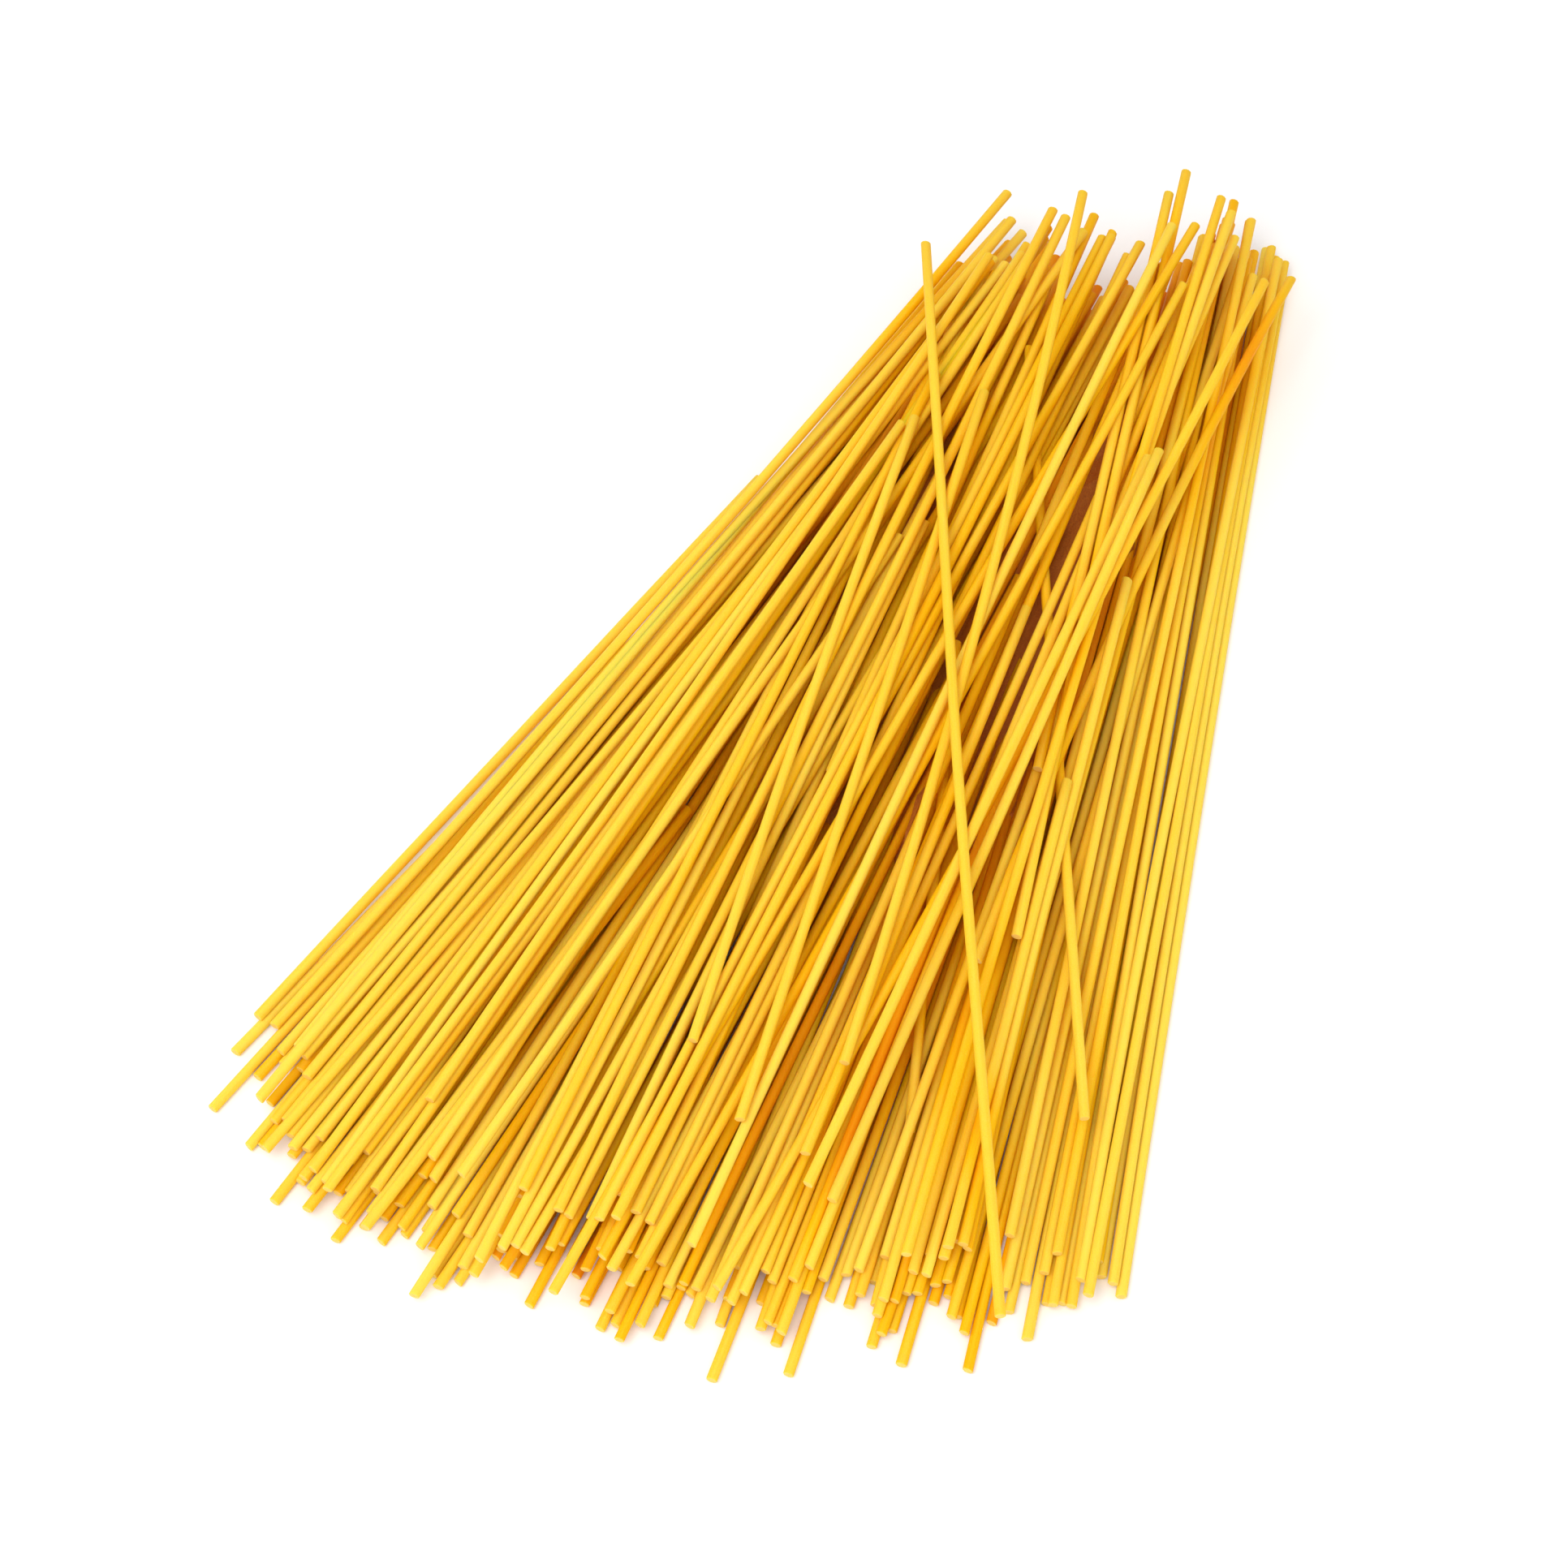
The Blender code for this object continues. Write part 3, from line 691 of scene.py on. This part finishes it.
def bendStrand(shape, template, reach, strand, rng, layers):
    # one more copy of the template, bent along this strand's axis
    place, tone, cutEnd = layers
    shape.from_mesh(template)
    shape.verts.ensure_lookup_table()
    radius = strand.diameter / 2
    sine, cosine = math.sin(strand.angle), math.cos(strand.angle)
    turn = Matrix.Rotation(rng.uniform(0, math.tau), 3, "Y")
    # painted shade and painted light along the strand, then a random tone of its own
    steps, tonesWithShade = shadeAlong(strand)
    tonesWithShade += rng.normal(0, strandShape["toneSpread"])
    offset = Vector((rng.uniform(-1, 1), rng.uniform(-1, 1), rng.uniform(-1, 1)))
    tilts = rng.uniform(-strandShape["cutTilt"], strandShape["cutTilt"], 2)
    waves, phase = rng.uniform(*strandShape["waveCount"]), rng.uniform(0, math.tau)
    wave = strandShape["wave"] * rng.uniform(*strandShape["waveShare"]) * strand.half
    wave /= strandShape["waveHalf"]
    for vertex in shape.verts[-len(template.vertices):]:
        atEnd = abs(vertex.co.y) > reach - 1
        vertex[cutEnd] = float(abs(vertex.co.y) > reach - 0.5 * strandShape["rim"])
        vertex.co = turn @ vertex.co
        share = vertex.co.y / reach
        along = share * strand.half
        if atEnd:                            # cut a little off square
            along += vertex.co.x * radius * tilts[int(share > 0)]
        side = vertex.co.x * radius + strand.bow * (share ** 2 - 1 / 3)
        side += wave * math.sin(waves * math.pi * share + phase)
        vertex[place] = Vector((vertex.co.x * radius, along, vertex.co.z * radius)) + offset
        # painted light and shade: each strand's upper side lighter, its lower side darker
        vertex[tone] = np.interp(share, steps, tonesWithShade) + strandShape["upperSideLight"] * vertex.co.z
        vertex.co = Vector((
            strand.x + sine * along + cosine * side,
            strand.y + cosine * along - sine * side,
            strand.z + strand.slope * along + vertex.co.z * radius,
        )) + heapShift


def makeStrands(name, strands, seed):
    rng = np.random.default_rng(seed)
    template, reach = makeStrandTemplate()
    shape = bmesh.new()
    layers = (
        shape.verts.layers.float_vector.new("strandPlace"),
        shape.verts.layers.float.new("strandToneAndShade"),
        shape.verts.layers.float.new("cutEnd"),
    )
    for strand in strands:
        bendStrand(shape, template, reach, strand, rng, layers)
    bpy.data.meshes.remove(template)
    print(name, len(strands), "strands,", len(shape.faces), "faces")
    return finishPiece(shape, name, dryPasta)


fullLength = strandShape["wholeShare"] * strandCut["length"]
whole = [strand for strand in heap.strands if 2 * strand.half > fullLength]
broken = [strand for strand in heap.strands if 2 * strand.half <= fullLength]
makeStrands("wholeStrands", whole, strandShape["wholeSeed"])
makeStrands("brokenStrands", broken, strandShape["brokenSeed"])


# packed core, coloured in painted shade
packedCore = {
    "columns": 14,
    "rows": 16,
    "near": -0.030,          # where it starts and ends along Y
    "far": 0.098,
    "width": 0.78,           # share of the fan's width
    "bottom": 0.0036,        # the first layer of strands lies under it
    "below": 0.0130,         # how deep it lies under the strands that show
    "thinnest": 0.0004,
    "feeler": 0.0035,        # thickness of what feels for the heap's top, and how far around
    "feelerReach": 0.004,
}


def heapTop(x, y):
    # the lowest top of the heap around a place
    reach = packedCore["feelerReach"]
    spots = [(x + dx * reach, y + dy * reach * 2) for dx in (-1, -0.5, 0, 0.5, 1) for dy in (-1, 0, 1)]
    return float(heap.heights(np.array(spots), packedCore["feeler"], np.arange(heap.count)).min())


def makePackedCore():
    # a flat-bottomed mound well inside the heap
    shape = bmesh.new()
    bmesh.ops.create_grid(
        shape, x_segments=packedCore["columns"], y_segments=packedCore["rows"], size=1
    )
    upper = list(shape.verts)
    lower = bmesh.ops.extrude_face_region(shape, geom=list(shape.faces))["geom"]
    lower = {v for v in lower if isinstance(v, bmesh.types.BMVert)}
    for vertex in upper + list(lower):
        across, along = vertex.co.x, (vertex.co.y + 1) / 2
        y = mixed((packedCore["near"], packedCore["far"]), along)
        share = (y + strandCut["length"] / 2) / strandCut["length"]
        half = mixed((fan["nearHalfWidth"], fan["farHalfWidth"]), share) * packedCore["width"]
        x = half * across + fan["nearMiddle"] * (1 - share)
        z = packedCore["bottom"]
        if vertex not in lower:
            rim = max(abs(across), abs(vertex.co.y)) > 0.99
            top = heapTop(x, y) - packedCore["below"]
            z += packedCore["thinnest"] if rim else max(packedCore["thinnest"], top - z)
        vertex.co = Vector((x, y, z)) + heapShift
    bmesh.ops.recalc_face_normals(shape, faces=list(shape.faces))
    # the mound is coloured in painted shade
    return finishPiece(shape, "packedCore", packedPastaShade)


makePackedCore()
print("packed core made")


# floor, light and camera
studio = {
    "floor": (0.97, 0.97, 0.97, 1),
    "floorSize": 4,
    "floorRoughness": 0.9,
    "world": (1.0, 1.0, 1.0, 1),
    "worldStrength": 0.82,
    "keyPower": 5.6,
    "keySize": 0.7,
    "keyPlace": (-0.06, -0.45, 0.95),
}

floorMesh = bmesh.new()
bmesh.ops.create_grid(floorMesh, x_segments=1, y_segments=1, size=studio["floorSize"])
floorData = bpy.data.meshes.new("paleFloor")
floorMesh.to_mesh(floorData)
floorMesh.free()
floor = bpy.data.objects.new("paleFloor", floorData)
bpy.context.scene.collection.objects.link(floor)
paleFloor = bpy.data.materials.new("paleFloor")
paleFloor.use_nodes = True
floorShader = paleFloor.node_tree.nodes["Principled BSDF"]
floorShader.inputs["Base Color"].default_value = studio["floor"]
floorShader.inputs["Roughness"].default_value = studio["floorRoughness"]
floorData.materials.append(paleFloor)

world = bpy.data.worlds.new("studio")
bpy.context.scene.world = world
world.use_nodes = True
background = world.node_tree.nodes["Background"]
background.inputs["Color"].default_value = studio["world"]
background.inputs["Strength"].default_value = studio["worldStrength"]


def addSoftLight(name, place, target, size, power):
    light = bpy.data.lights.new(name, "AREA")
    light.shape = "SQUARE"
    light.size = size
    light.energy = power
    lamp = bpy.data.objects.new(name, light)
    bpy.context.scene.collection.objects.link(lamp)
    lamp.location = place
    lamp.rotation_euler = (Vector(target) - Vector(place)).to_track_quat("-Z", "Y").to_euler()


addSoftLight("keyLight", studio["keyPlace"], (0, 0, 0), studio["keySize"], studio["keyPower"])

cameraView = {
    "elevation": 60.0,
    "azimuth": 24.8,
    "distance": 0.81,
    "lens": 88.3,
    "sensor": 36,
    "nearest": 0.01,
    "target": (-0.0146, -0.0176, 0.0),         # in the heap's own plan
}

cameraData = bpy.data.cameras.new("studioCamera")
cameraData.lens = cameraView["lens"]
cameraData.sensor_width = cameraView["sensor"]
cameraData.clip_start = cameraView["nearest"]
camera = bpy.data.objects.new("studioCamera", cameraData)
bpy.context.scene.collection.objects.link(camera)
elevation, azimuth = math.radians(cameraView["elevation"]), math.radians(cameraView["azimuth"])
away = Vector((
    math.sin(azimuth) * math.cos(elevation),
    -math.cos(azimuth) * math.cos(elevation),
    math.sin(elevation),
))
camera.location = Vector(cameraView["target"]) + heapShift + away * cameraView["distance"]
camera.rotation_euler = (-away).to_track_quat("-Z", "Y").to_euler()
bpy.context.scene.camera = camera
bpy.context.scene.view_settings.view_transform = "Standard"
print("studio made")
